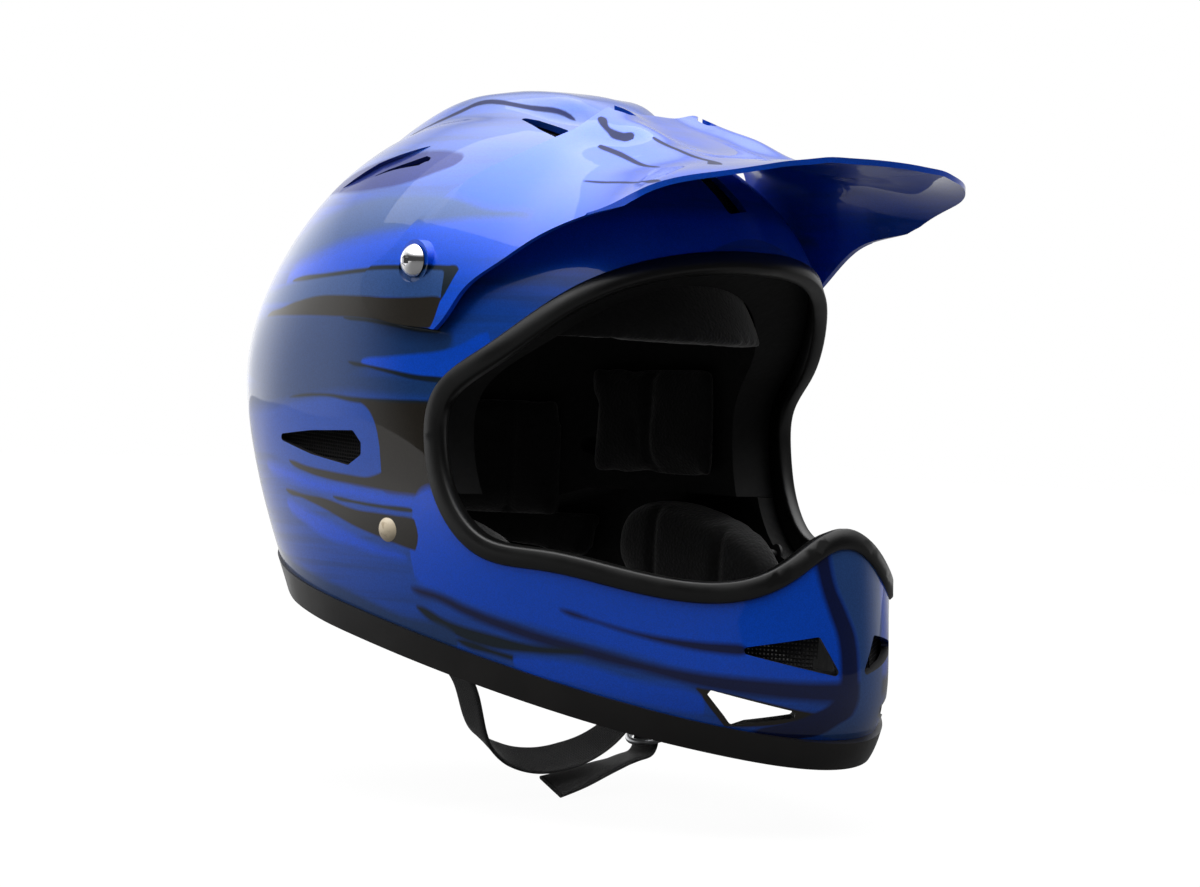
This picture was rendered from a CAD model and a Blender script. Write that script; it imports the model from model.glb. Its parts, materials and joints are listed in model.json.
import json
import math

import bmesh
import bpy
import numpy as np
from bpy.props import FloatProperty, FloatVectorProperty, IntProperty, PointerProperty
from mathutils import Matrix, Vector
from mathutils.bvhtree import BVHTree

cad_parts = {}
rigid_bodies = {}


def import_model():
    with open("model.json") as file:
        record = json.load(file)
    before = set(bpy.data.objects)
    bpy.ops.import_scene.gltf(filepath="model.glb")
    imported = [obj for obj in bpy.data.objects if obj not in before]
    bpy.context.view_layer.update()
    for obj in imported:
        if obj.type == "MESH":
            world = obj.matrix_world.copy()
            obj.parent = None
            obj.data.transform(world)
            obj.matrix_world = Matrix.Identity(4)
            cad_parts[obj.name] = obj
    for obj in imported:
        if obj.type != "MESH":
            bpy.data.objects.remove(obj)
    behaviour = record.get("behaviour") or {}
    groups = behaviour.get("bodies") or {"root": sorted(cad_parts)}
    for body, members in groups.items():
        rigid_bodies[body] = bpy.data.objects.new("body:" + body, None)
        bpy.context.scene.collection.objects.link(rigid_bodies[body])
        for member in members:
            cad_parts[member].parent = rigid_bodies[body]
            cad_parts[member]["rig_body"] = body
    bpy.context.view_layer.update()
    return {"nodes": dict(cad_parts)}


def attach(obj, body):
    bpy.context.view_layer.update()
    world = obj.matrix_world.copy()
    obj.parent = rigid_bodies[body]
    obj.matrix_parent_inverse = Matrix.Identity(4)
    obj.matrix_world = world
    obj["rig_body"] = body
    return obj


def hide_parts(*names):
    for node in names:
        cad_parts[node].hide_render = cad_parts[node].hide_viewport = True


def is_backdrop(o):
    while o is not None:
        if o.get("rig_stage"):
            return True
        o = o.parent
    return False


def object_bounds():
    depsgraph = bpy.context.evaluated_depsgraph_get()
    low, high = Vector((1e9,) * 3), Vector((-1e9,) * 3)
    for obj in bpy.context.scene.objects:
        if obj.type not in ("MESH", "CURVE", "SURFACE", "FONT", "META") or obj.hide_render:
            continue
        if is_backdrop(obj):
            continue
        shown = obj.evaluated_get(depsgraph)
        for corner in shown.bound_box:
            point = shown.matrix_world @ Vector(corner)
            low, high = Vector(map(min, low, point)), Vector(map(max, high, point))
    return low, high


bl_info = {
    "name": "Full Face Helmet Looks",
    "version": (1, 0, 0),
    "blender": (4, 5, 0),
    "location": "3D View > Sidebar > Helmet",
    "description": "Paint, padding, webbing and hardware looks around a packed full face helmet",
    "category": "Object",
}

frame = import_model()

MM = 0.001


def linear(code):
    """Linear colour of an sRGB hex value."""
    shares = [int(code[i:i + 2], 16) / 255 for i in (1, 3, 5)]
    return tuple(s / 12.92 if s <= 0.04045 else ((s + 0.055) / 1.055) ** 2.4 for s in shares)


def colour(code, name, description):
    """Colour property with a hex default."""
    return FloatVectorProperty(name=name, description=description, subtype="COLOR", size=3,
                               min=0, max=1, default=linear(code))


class PaintSettings(bpy.types.PropertyGroup):
    """Colours of the shell's and the visor's paint."""
    bright: colour("#0250d8", "Bright blue", "Candy blue of the bright streaks")
    body: colour("#104ab0", "Body blue", "Candy blue of most of the shell")
    navy: colour("#163c74", "Navy", "Deep blue of the shaded bands")
    edge: colour("#10202c", "Stripe edge", "Dark teal of the stripes' thin edges")
    black: colour("#231f19", "Stripe black", "Black of the speed stripes")
    steel: colour("#2a4f8e", "Nose blue", "Steel blue of the chin's nose")
    haze: colour("#2b4f8a", "Haze blue", "Greyed blue between the upper stripes")
    recess: colour("#202f78", "Recess blue", "Shaded blue of the rear vents' recesses")
    deep: colour("#0a1848", "Deep blue", "Deep blue of the nose stripe and the visor's strokes")


class SoftSettings(bpy.types.PropertyGroup):
    """How the pads are made and coloured."""
    voxel: FloatProperty(name="Voxel", description="Cell of the pads' remesh", unit="LENGTH",
                         default=4 * MM, min=3 * MM, max=8 * MM)
    pressure: FloatProperty(name="Pressure", description="Air pressure that swells the pads",
                            default=4.0, min=0, max=12)
    swell: FloatProperty(name="Swell", description="Most that a pad's face stands out",
                         unit="LENGTH", default=5 * MM, min=0, max=16 * MM)
    frames: IntProperty(name="Frames", description="Steps of the pads' simulation",
                        default=20, min=1, max=40)
    fabric: colour("#0b0b0c", "Fabric", "Black of the pad fabric")
    webbing: colour("#0c0c0d", "Webbing", "Black of the strap webbing")


class StageSettings(bpy.types.PropertyGroup):
    """Camera, lamps and floor."""
    distance: FloatProperty(name="Distance", description="Camera to the aim point",
                            unit="LENGTH", default=1.398, min=0.5, max=5)
    azimuth: FloatProperty(name="Azimuth", description="Camera's turn about the upright",
                           subtype="ANGLE", default=math.radians(-43.26))
    elevation: FloatProperty(name="Elevation", description="Camera's height angle",
                             subtype="ANGLE", default=math.radians(-0.38))
    roll: FloatProperty(name="Roll", description="Camera's turn about its own line of sight",
                        subtype="ANGLE", default=math.radians(2.12))
    lens: FloatProperty(name="Lens", description="Focal length in millimetres", default=90.99,
                        min=20, max=300)
    overhead: FloatProperty(name="Overhead lamp", description="Power of the overhead softbox",
                            default=10.0, min=0, max=200)
    side: FloatProperty(name="Side lamp", description="Power of the side softbox",
                        default=3.0, min=0, max=200)
    floor: colour("#ffffff", "Floor", "Colour of the floor")


# Nodes and materials


def add(tree, kind, inputs=(), out=0, **settings):
    """Adds a node with its settings, and its values and links by socket place or name. Returns the
    output that is asked for."""
    made = tree.nodes.new(f"ShaderNode{kind}")
    for name, value in settings.items():
        setattr(made, name, value)
    for key, value in inputs.items() if isinstance(inputs, dict) else enumerate(inputs):
        if isinstance(value, bpy.types.NodeSocket):
            tree.links.new(value, made.inputs[key])
        else:
            made.inputs[key].default_value = value
    return made.outputs[out] if made.outputs else made


def rgba(shade, lift=1.0):
    """Colour with full cover from a hex value or linear values, paler or darker by a factor."""
    values = linear(shade) if isinstance(shade, str) else shade
    return (*(min(1.0, lift * v) for v in values[:3]), 1.0)


def cells(size):
    """Scale of a pattern whose cells are a size in millimetres."""
    return 1 / (size * MM)


def blank_finish(name):
    """New material with an empty node tree."""
    made = bpy.data.materials.new(name)
    made.use_nodes = True
    made.node_tree.nodes.clear()
    return made, made.node_tree


def close_finish(tree, **values):
    """Ends a material with its surface, whose values and links go by socket name."""
    surface = add(tree, "BsdfPrincipled", {key.replace("_", " "): v for key, v in values.items()})
    add(tree, "OutputMaterial", {"Surface": surface})


# Sizes of what the finishes show, in millimetres

FLAKE_SIZE = 0.5                     # finer on a real base coat, coarser here so that it shows at all
STREAK_SIZES = (55.6, 111.1, 3.85)   # marks of the spray gun across, along and up the shell
RUBBER_GRAIN, RUBBER_WEAR = 1.1, 22.2
BEAD_SIZE = 3.6
KNIT_LOOP, NAP_PATCH = 1.3, 16.7
YARN_LENGTH, YARN_WIDTH, YARN_GAP, YARN_FUZZ = 1.6, 0.8, 0.12, 1.4
METAL_SCRATCH, METAL_SMEAR = 0.83, 6.2
ENAMEL_SPOT = 2.4
MOULD_GRAIN = 0.67
CLOTH_CELL = 2.5

# Paint as (shade, softness of its edge, rows), with rows of (y, top z, bottom z) in millimetres. The
# stripes are the same on both sides.

PAINT_Y = (-225.0, 145.0)
PAINT_Z = (-130.0, 170.0)
PAINT_X = 100.0

SHELL_STRIPES = [
    ("recess", 1.6, [(-23.5, 131.6, 127.5), (-17, 133.5, 124.4), (0, 134.6, 118.8), (21, 133, 116.6),
                     (42, 129.3, 116), (59, 124.8, 116.4), (68, 121, 116)]),
    ("bright", 7.0, [(-130, 108, 84), (-80, 101, 80), (-52, 99, 79), (-38, 98, 80), (-15, 96, 79),
                     (14, 92, 77), (35, 87, 76), (62, 79, 74)]),
    ("navy", 6.0, [(-56, 50, 47), (-53, 54, 42), (-45, 56, 40), (-20, 58, 36), (10, 60, 28),
                   (60, 60, 24), (92, 57, 30), (118, 49, 42)]),
    ("navy", 7.0, [(-70, 32, 22), (-40, 33, 22), (0, 34, 24), (60, 30, 17),
                   (92, 26, 16), (116, 21, 17)]),
    ("bright", 1.6, [(-72, 52, 31), (-61, 47, 31), (-53, 44, 31.5), (-38, 42, 33), (-22, 40.5, 35),
                     (-8, 39, 37)]),
    ("edge", 1.0, [(-58, 31.5, 29.6), (-39, 33, 30.8), (-26, 34.8, 33.0), (-13, 36.6, 35.2),
                   (1, 38.2, 37.6)]),
    ("body", 3.0, [(-25, 19, -11), (-8, 20, -12), (15, 20, -11), (40, 18, -8),
                   (66, 13, -3), (88, 8, 4)]),
    ("edge", 1.2, [(-52, 22, 19), (-24, 22, 19.5), (-5, 22.4, 20.0), (16, 23.6, 22.2), (42, 21.6, 21.2)]),
    ("black", 1.2, [(-78, 22, -22), (-66, 21.5, -21), (-50, 21, -20), (-25, 20.6, -19.4),
                    (-23, 20.6, -14), (-22, 20.6, -5), (-21, 20.6, 2), (-19, 20.8, 9),
                    (-16, 21, 14.5), (-12.5, 21.2, 18), (-9, 21.4, 20.2)]),
    ("black", 1.2, [(-52, -12, -19.6), (-26, -9, -18.6), (-20, -11, -18), (-12, -12.6, -17.4),
                    (-2, -12, -16.4), (15, -10.6, -14.4), (28, -9.2, -12.2), (43, -7, -7.6)]),
    ("bright", 4.0, [(-46, -20.5, -26), (-30, -19.5, -25), (-8, -17.5, -22.5), (20, -15, -20),
                     (45, -11, -16), (66, -9, -11)]),
    ("edge", 1.0, [(-40, -25.0, -26.8), (-21, -24.2, -25.8), (-6, -23.2, -24.6), (9, -21.8, -22.6)]),
    ("bright", 3.0, [(-36, -46.5, -47.5), (-18, -42.5, -46), (-3, -38, -43.5), (16, -32.5, -40.5),
                     (32, -28.5, -34.5), (46, -25, -28.5)]),
    ("bright", 4.0, [(-215, -20, -92), (-190, -20, -89), (-166, -30, -87), (-150, -40, -83),
                     (-125, -40, -77), (-97, -40, -71), (-66, -30, -64), (-53, -15, -60),
                     (-44, -18, -58), (-40, -30, -54)]),
    ("black", 1.2, [(-41.5, -29.6, -43.2), (-38, -29, -42.6), (-31, -28.6, -41), (-21, -28, -38.6),
                    (-5, -27, -34.6), (15, -23.2, -28.2), (31, -22, -24.2), (47, -20.2, -21)]),
    ("deep", 3.0, [(-206, -91, -99), (-192, -89.5, -97), (-166, -87, -93), (-150, -84.5, -89),
                   (-125, -79, -84), (-97, -73, -78), (-66, -65, -69.4), (-53, -61, -64.6),
                   (-38, -59, -60.6)]),
    ("edge", 2.2, [(-121, -80.4, -82), (-97, -79.5, -83.4), (-81, -77, -83), (-57, -72.6, -77.6),
                   (-40, -67, -68.4)]),
    ("navy", 3.0, [(-60, -78, -84), (-30, -72, -84), (0, -64, -82), (40, -55, -74),
                   (80, -46, -60), (106, -44, -49)]),
    ("black", 1.0, [(-197, -103.9, -104.3), (-192, -101.2, -105.8), (-185.6, -98.4, -107.8),
                    (-178, -96, -108.8), (-172, -94.4, -109), (-170, -94, -105.2), (-168, -93.6, -101.4),
                    (-166, -93.4, -97.6), (-164, -93, -94)]),
    ("edge", 1.6, [(-124, -95, -96), (-103, -88, -90), (-81, -83.6, -85.8), (-61, -80, -81)]),
    ("bright", 3.0, [(-165, -96, -104), (-143, -92, -101), (-118, -86, -96), (-90, -85, -90)]),
    ("deep", 2.2, [(-178, -74.5, -79), (-166, -74, -78), (-155, -73, -76), (-144, -71.4, -73.4),
                   (-128, -67.6, -68.9), (-112, -63.6, -64.2)]),
]
UPPER_STRIPES = [
    ("haze", 5.0, [(-88, 103, 101), (-60, 107, 101), (-40, 112, 100), (-10, 114, 98), (20, 112, 94),
                   (45, 106, 88), (72, 97, 85), (98, 89, 85)]),
    ("haze", 2.5, [(-52, 79.5, 66), (-45, 80, 65), (-22, 80, 66), (8, 79, 66), (40, 76, 64),
                   (70, 71, 64), (92, 67, 65)]),
    ("edge", 1.0, [(-58.6, 79.4, 78), (-57, 80.6, 74), (-55, 80.8, 69), (-52.6, 80.6, 65),
                   (-51.4, 80.6, 78), (-45, 80.8, 78.6), (-22, 80.8, 78.7), (-1, 79.8, 77.9),
                   (25, 77.8, 76), (56, 75, 74)]),
    ("black", 1.2, [(-53, 66.6, 65), (-51.5, 66.8, 57), (-49, 67, 53), (-40, 66.6, 53), (-24, 66.4, 55),
                    (-8, 67, 57), (22, 67.6, 58.2), (46, 65, 58.4), (60, 62, 58.4), (75, 58.6, 58)]),
    ("edge", 1.0, [(-49, 53.2, 51.2), (-40, 53.4, 51.4), (-24, 55.4, 53.6), (-8, 57.2, 55.6),
                   (8, 58, 57.2)]),
]
# Rows of (z, inner, outer) distances to the rider's right of the nose
NOSE_ROWS = [(-112, 14, 40), (-107, 5, 30), (-103, -2, 20), (-96, -4, 10), (-85, -4, 7), (-72, -3, 8),
             (-61, 2, 12), (-49, 8, 16), (-37, 10, 18), (-20, 11, 19)]
NOSE_FAR = -26.0
# Strokes on the crown and on the visor's top as rows of (y, outer, inner) distances from the centre plane
SHELL_STROKES = [
    [(-46, 31.0, 29.4), (-38, 32.8, 30.4), (-16, 37.6, 35.0), (8, 40.6, 38.0), (18.5, 43.6, 41.2),
     (35, 46, 44.4), (52, 47, 46.4)],
]
VISOR_STROKES = [
    [(-99.5, 47.2, 43.5), (-97, 48.0, 42.6), (-92.8, 48, 44), (-84, 45.6, 43.2), (-72, 40.2, 37.8)],
    [(-134, 61.8, 61.0), (-125, 61.0, 59.2), (-111, 58.2, 55.8), (-99, 56.2, 53.4), (-88, 54.4, 52.4)],
    [(-174, 65.6, 64.4), (-154, 54.0, 51.6), (-132, 45.8, 43.4), (-119, 43.4, 40.8), (-108, 41, 39.4)],
    [(-160, 86.6, 85.9), (-141, 79.8, 78.6), (-118, 76, 74.6), (-103, 76.0, 75.2)],
]

STRIPE_PAST = 2.0                    # how far a stripe goes on past its last row
STRIPE_SHUT = 2.5                    # how far its edges cross there, so that it ends in a point
STROKE_SOFT = 0.8
RECESS_DULL = 0.6                    # share of the clear coat that the recesses' shade takes away
STREAK_LEVELS = (0.42, 0.66, 0.0, 0.45)
NOSE_FADE = (-0.150, -0.165)         # where the nose's paint sets in, in metres along Y
TOP_FACING = (0.05, 0.20)            # how far a face looks up before strokes show on it
SPARKLE = (0.0, 1.0, 0.90, 1.12)


def trace(mapping, points):
    """Lays a node's curve smoothly through points, whose places and values are shares from 0 to 1."""
    line = mapping.curves[0]
    line.points[0].location = points[0]
    line.points[1].location = points[-1]
    for place in points[1:-1]:
        line.points.new(*place)
    for point in line.points:
        point.handle_type = "AUTO_CLAMPED"
    mapping.update()


def band(tree, place, level, rows, place_range, level_range, soft):
    """Mask of a tapered stripe between the top and bottom of its rows."""
    first, last = rows[0], rows[-1]
    start, stop = (first[1] + first[2]) / 2, (last[1] + last[2]) / 2
    rows = [(first[0] - STRIPE_PAST, start - STRIPE_SHUT, start + STRIPE_SHUT), *rows,
            (last[0] + STRIPE_PAST, stop - STRIPE_SHUT, stop + STRIPE_SHUT)]
    places = [(row[0] - place_range[0]) / (place_range[1] - place_range[0]) for row in rows]
    low, span = level_range[0], level_range[1] - level_range[0]
    masks = []
    for edge, order in ((1, 1), (2, -1)):
        line = add(tree, "FloatCurve", {"Value": place})
        trace(line.node.mapping, [(p, (row[edge] - low) / span) for p, row in zip(places, rows)])
        gap = add(tree, "Math", [line, level][::order], operation="SUBTRACT")
        masks.append(add(tree, "Math", [gap, span / soft, 0.5], operation="MULTIPLY_ADD", use_clamp=True))
    return add(tree, "Math", masks, operation="MULTIPLY")


def candy_paint(name, base, stripes, strokes, with_nose):
    """Candy lacquer, sprayed: blue over metallic flake under thick clear coat, with soft-edged speed
    stripes. It looks deep where it faces the eye and mirrors the sky towards its edges."""
    paint = bpy.context.scene.helmet_paint
    shades = {key: rgba(getattr(paint, key)) for key in paint.__annotations__}
    made, tree = blank_finish(name)
    places = add(tree, "TexCoord", out="Object")
    split = add(tree, "SeparateXYZ", [places]).node.outputs
    across = add(tree, "MapRange", [split["Y"], *(v * MM for v in PAINT_Y)])
    height = add(tree, "MapRange", [split["Z"], *(v * MM for v in PAINT_Z)])
    # Streaks of the spray gun along the stripes
    streaks = add(tree, "Mapping", {0: places, 3: tuple(cells(size) for size in STREAK_SIZES)})
    streaks = add(tree, "TexNoise", {0: streaks, "Scale": 1.0, "Detail": 3.0})
    share = add(tree, "MapRange", [streaks, *STREAK_LEVELS], interpolation_type="SMOOTHSTEP")
    other = shades["navy" if base == "body" else "body"]
    tone = add(tree, "Mix", {0: share, 6: shades[base], 7: other}, out=2, data_type="RGBA")
    dull = 0.0
    for shade, soft, rows in stripes:
        mask = band(tree, across, height, rows, PAINT_Y, PAINT_Z, soft)
        tone = add(tree, "Mix", {0: mask, 6: tone, 7: shades[shade]}, out=2, data_type="RGBA")
        if shade == "recess":
            dull = add(tree, "Math", [mask, RECESS_DULL], operation="MULTIPLY")
    if with_nose:
        # Dark stripe down the nose, with a steel blue field beside it
        limits = (-PAINT_X, PAINT_X)
        off = add(tree, "Math", [split["X"], -1.0], operation="MULTIPLY")
        off = add(tree, "MapRange", [off, *(v * MM for v in limits)])
        ahead = add(tree, "MapRange", [split["Y"], *NOSE_FADE], interpolation_type="SMOOTHSTEP")
        for shade, soft, rows in (("steel", 4.0, [(z, inner, NOSE_FAR) for z, inner, _ in NOSE_ROWS]),
                                  ("deep", 3.0, [(z, outer, inner) for z, inner, outer in NOSE_ROWS])):
            mask = band(tree, height, off, rows, PAINT_Z, limits, soft)
            mask = add(tree, "Math", [mask, ahead], operation="MULTIPLY")
            tone = add(tree, "Mix", {0: mask, 6: tone, 7: shades[shade]}, out=2, data_type="RGBA")
    off = add(tree, "Math", [split["X"]], operation="ABSOLUTE")
    off = add(tree, "MapRange", [off, 0.0, PAINT_X * MM])
    facing = add(tree, "SeparateXYZ", [add(tree, "TexCoord", out="Normal")], out="Z")
    on_top = add(tree, "MapRange", [facing, *TOP_FACING], interpolation_type="SMOOTHSTEP")
    for rows in strokes:
        mask = band(tree, across, off, rows, PAINT_Y, (0.0, PAINT_X), STROKE_SOFT)
        mask = add(tree, "Math", [mask, on_top], operation="MULTIPLY")
        tone = add(tree, "Mix", {0: mask, 6: tone, 7: shades["deep"]}, out=2, data_type="RGBA")
        dull = add(tree, "Math", [mask, dull], operation="MAXIMUM")
    coat = add(tree, "Math", [1.0, dull], operation="SUBTRACT")
    flake = add(tree, "TexVoronoi", {0: places, "Scale": cells(FLAKE_SIZE)}, out="Color")
    sparkle = add(tree, "MapRange", [flake, *SPARKLE], interpolation_type="SMOOTHSTEP")
    tone = add(tree, "VectorMath", {0: tone, 3: sparkle}, operation="SCALE")
    close_finish(tree, Base_Color=tone, Metallic=0.42, Roughness=0.34, Specular_IOR_Level=0.1,
                 Coat_Weight=coat, Coat_Roughness=0.025, Coat_IOR=1.5)
    return made


def bare_composite():
    """Bare inside of the composite shell: dark resin over a coarse woven cloth."""
    made, tree = blank_finish("Bare composite")
    places = add(tree, "TexCoord", out="Object")
    cloth = add(tree, "TexChecker", {0: places, "Scale": cells(CLOTH_CELL)}, out="Fac")
    tone = add(tree, "Mix", {0: cloth, 6: rgba("#08080a"), 7: rgba("#0e0e10")}, out=2, data_type="RGBA")
    relief = add(tree, "Bump", {"Height": cloth, "Distance": 0.08 * MM, "Strength": 0.5})
    close_finish(tree, Base_Color=tone, Roughness=0.6, Normal=relief)
    return made


def extruded_rubber(name, code):
    """Extruded rubber edging: satin black, a little more worn in patches, with the faint drag marks
    of the die."""
    made, tree = blank_finish(name)
    places = add(tree, "TexCoord", out="Object")
    grain = add(tree, "TexNoise", {0: places, "Scale": cells(RUBBER_GRAIN), "Detail": 4.0})
    wear = add(tree, "TexNoise", {0: places, "Scale": cells(RUBBER_WEAR), "Detail": 3.0})
    share = add(tree, "MapRange", [wear, 0.4, 0.7], interpolation_type="SMOOTHSTEP")
    tone = add(tree, "Mix", {0: share, 6: rgba(code), 7: rgba(code, 1.35)}, out=2, data_type="RGBA")
    rough = add(tree, "MapRange", [wear, 0.3, 0.7, 0.30, 0.42], interpolation_type="SMOOTHSTEP")
    relief = add(tree, "Bump", {"Height": grain, "Distance": 0.06 * MM, "Strength": 0.4})
    close_finish(tree, Base_Color=tone, Roughness=rough, IOR=1.52, Normal=relief)
    return made


def bead_foam():
    """Expanded bead foam, black: pressed beads 3 to 4 mm across show as shallow cells."""
    made, tree = blank_finish("Bead foam")
    places = add(tree, "TexCoord", out="Object")
    beads = add(tree, "TexVoronoi", {0: places, "Scale": cells(BEAD_SIZE)}, out="Distance",
                feature="SMOOTH_F1")
    tone = add(tree, "Mix", {0: beads, 6: rgba("#0d0d0e"), 7: rgba("#060607")}, out=2, data_type="RGBA")
    relief = add(tree, "Bump", {"Height": beads, "Distance": -0.35 * MM})
    close_finish(tree, Base_Color=tone, Roughness=0.82, Normal=relief)
    return made


def brushed_knit():
    """Brushed knit over foam: soft black with a pale sheen at grazing angles and small loops."""
    fabric = bpy.context.scene.helmet_soft.fabric
    made, tree = blank_finish("Brushed knit")
    places = add(tree, "TexCoord", out="Object")
    loops = add(tree, "TexVoronoi", {0: places, "Scale": cells(KNIT_LOOP)}, out="Distance",
                feature="SMOOTH_F1")
    nap = add(tree, "TexNoise", {0: places, "Scale": cells(NAP_PATCH), "Detail": 4.0})
    share = add(tree, "MapRange", [nap, 0.4, 0.75], interpolation_type="SMOOTHSTEP")
    tone = add(tree, "Mix", {0: share, 6: rgba(fabric), 7: rgba(fabric, 1.9)}, out=2, data_type="RGBA")
    height = add(tree, "Math", [nap, 0.4, loops], operation="MULTIPLY_ADD")
    relief = add(tree, "Bump", {"Height": height, "Distance": 0.30 * MM})
    close_finish(tree, Base_Color=tone, Roughness=0.92, Sheen_Weight=0.35, Sheen_Roughness=0.5,
                 Normal=relief)
    return made


def nylon_webbing():
    """Flat nylon webbing: a tight twill whose yarns run along the strap, with darker gaps."""
    webbing = bpy.context.scene.helmet_soft.webbing
    made, tree = blank_finish("Nylon webbing")
    places = add(tree, "UVMap", uv_map="weave")
    gaps = add(tree, "TexBrick", {0: places, "Scale": 1.0, "Mortar Size": YARN_GAP * MM,
                                  "Mortar Smooth": 1.0, "Brick Width": YARN_LENGTH * MM,
                                  "Row Height": YARN_WIDTH * MM}, out="Fac", offset=0.5)
    fuzz = add(tree, "TexNoise", {0: places, "Scale": cells(YARN_FUZZ), "Detail": 3.0})
    tone = add(tree, "Mix", {0: fuzz, 6: rgba(webbing), 7: rgba(webbing, 1.8)}, out=2, data_type="RGBA")
    tone = add(tree, "Mix", {0: gaps, 6: tone, 7: rgba(webbing, 0.45)}, out=2, data_type="RGBA")
    relief = add(tree, "Bump", {"Height": gaps, "Distance": -0.25 * MM})
    close_finish(tree, Base_Color=tone, Roughness=0.55, Sheen_Weight=0.2, Normal=relief)
    return made


def worked_metal(name, code, rough, scratch):
    """Bare or plated metal: fine scratches of its last working, and smears that dull it in places."""
    made, tree = blank_finish(name)
    places = add(tree, "TexCoord", out="Object")
    marks = add(tree, "TexNoise", {0: places, "Scale": cells(METAL_SCRATCH), "Detail": 4.0})
    smears = add(tree, "TexNoise", {0: places, "Scale": cells(METAL_SMEAR), "Detail": 2.0})
    gloss = add(tree, "MapRange", [smears, 0.3, 0.7, rough, rough * 1.8 + 0.02],
                interpolation_type="SMOOTHSTEP")
    relief = add(tree, "Bump", {"Height": marks, "Distance": scratch * MM, "Strength": 0.4})
    close_finish(tree, Base_Color=rgba(code), Metallic=1.0, Roughness=gloss, Normal=relief)
    return made


def baked_enamel():
    """Cream enamel baked on steel: smooth, a little uneven, with darker spots."""
    made, tree = blank_finish("Cream enamel")
    places = add(tree, "TexCoord", out="Object")
    spots = add(tree, "TexNoise", {0: places, "Scale": cells(ENAMEL_SPOT), "Detail": 5.0})
    share = add(tree, "MapRange", [spots, 0.52, 0.70], interpolation_type="SMOOTHSTEP")
    tone = add(tree, "Mix", {0: share, 6: rgba("#cdbfa6"), 7: rgba("#a8977c")}, out=2, data_type="RGBA")
    relief = add(tree, "Bump", {"Height": spots, "Distance": 0.06 * MM, "Strength": 0.5})
    close_finish(tree, Base_Color=tone, Roughness=0.38, IOR=1.5, Normal=relief)
    return made


def moulded_nylon(name, code, rough=0.55):
    """Moulded nylon: matte, with the fine spark-eroded grain of its mould."""
    made, tree = blank_finish(name)
    places = add(tree, "TexCoord", out="Object")
    grain = add(tree, "TexNoise", {0: places, "Scale": cells(MOULD_GRAIN), "Detail": 3.0})
    tone = add(tree, "Mix", {0: grain, 6: rgba(code), 7: rgba(code, 1.5)}, out=2, data_type="RGBA")
    relief = add(tree, "Bump", {"Height": grain, "Distance": 0.05 * MM, "Strength": 0.6})
    close_finish(tree, Base_Color=tone, Roughness=rough, IOR=1.53, Normal=relief)
    return made


# Meshes

MERGE_REACH = 0.005 * MM     # corners of a CAD mesh's loose triangles closer than this are one
SHARP = 0.6                  # edges that turn by more radians than this stay sharp
PAINT_SHARP = 0.5
LIP_SHARP = 1.0
WIRE_SHARP = 1.2


def linked(name, data):
    """New object of the scene."""
    made = bpy.data.objects.new(name, data)
    bpy.context.scene.collection.objects.link(made)
    return made


def mesh_from(work, name):
    """New mesh of what is in work."""
    mesh = bpy.data.meshes.new(name)
    work.to_mesh(mesh)
    work.free()
    return mesh


def merged_mesh(node, name):
    """Copy of a CAD node's mesh with its loose triangles joined."""
    work = bmesh.new()
    work.from_mesh(frame["nodes"][node].data)
    bmesh.ops.remove_doubles(work, verts=work.verts, dist=MERGE_REACH)
    return mesh_from(work, name)


def smooth_by_angle(mesh, angle):
    """Smooth shading, with sharp edges where faces meet at more than an angle."""
    work = bmesh.new()
    work.from_mesh(mesh)
    for face in work.faces:
        face.smooth = True
    for edge in work.edges:
        edge.smooth = len(edge.link_faces) == 2 and edge.calc_face_angle() < angle
    work.to_mesh(mesh)
    work.free()


def dress(piece, node, material):
    """Gives a finished piece its material, body, slot and the node that it stands for."""
    piece.data.materials.clear()
    piece.data.materials.append(material)
    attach(piece, frame["nodes"][node]["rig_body"])
    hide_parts(node)
    return piece


def smoothed(node, name, material, angle=SHARP):
    """A CAD node's form with smooth shading."""
    mesh = merged_mesh(node, name)
    smooth_by_angle(mesh, angle)
    return dress(linked(name, mesh), node, material)


def spline_through(knots, values, places):
    """Natural cubic spline through values at knots, read at places."""
    knots = np.asarray(knots, float)
    values = np.asarray(values, float)
    flat = values.reshape(len(knots), -1)
    step = np.diff(knots)
    matrix = np.zeros((len(knots), len(knots)))
    right = np.zeros_like(flat)
    matrix[0, 0] = matrix[-1, -1] = 1
    for i in range(1, len(knots) - 1):
        matrix[i, i - 1], matrix[i, i], matrix[i, i + 1] = step[i - 1], 2 * (step[i - 1] + step[i]), step[i]
        right[i] = 6 * ((flat[i + 1] - flat[i]) / step[i] - (flat[i] - flat[i - 1]) / step[i - 1])
    bend = np.linalg.solve(matrix, right)
    k = np.clip(np.searchsorted(knots, places) - 1, 0, len(knots) - 2)
    after = (knots[k + 1] - places)[:, None]
    before = (places - knots[k])[:, None]
    size = step[k][:, None]
    found = (bend[k] * after**3 + bend[k + 1] * before**3) / (6 * size)
    found += (flat[k] / size - bend[k] * size / 6) * after
    found += (flat[k + 1] / size - bend[k + 1] * size / 6) * before
    return found.reshape(len(places), *values.shape[1:])


def grid_in(work, rows, columns):
    """Adds a grid of corners; returns each corner with its row and column."""
    bmesh.ops.create_grid(work, x_segments=rows - 1, y_segments=columns - 1, size=0.5)
    return {corner: (round((corner.co.x + 0.5) * (rows - 1)), round((corner.co.y + 0.5) * (columns - 1)))
            for corner in work.verts}


def grid_mesh(name, table):
    """Mesh of a grid whose corners lie at a table's places, in metres."""
    work = bmesh.new()
    for corner, spot in grid_in(work, *table.shape[:2]).items():
        corner.co = table[spot]
    return mesh_from(work, name)


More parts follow.
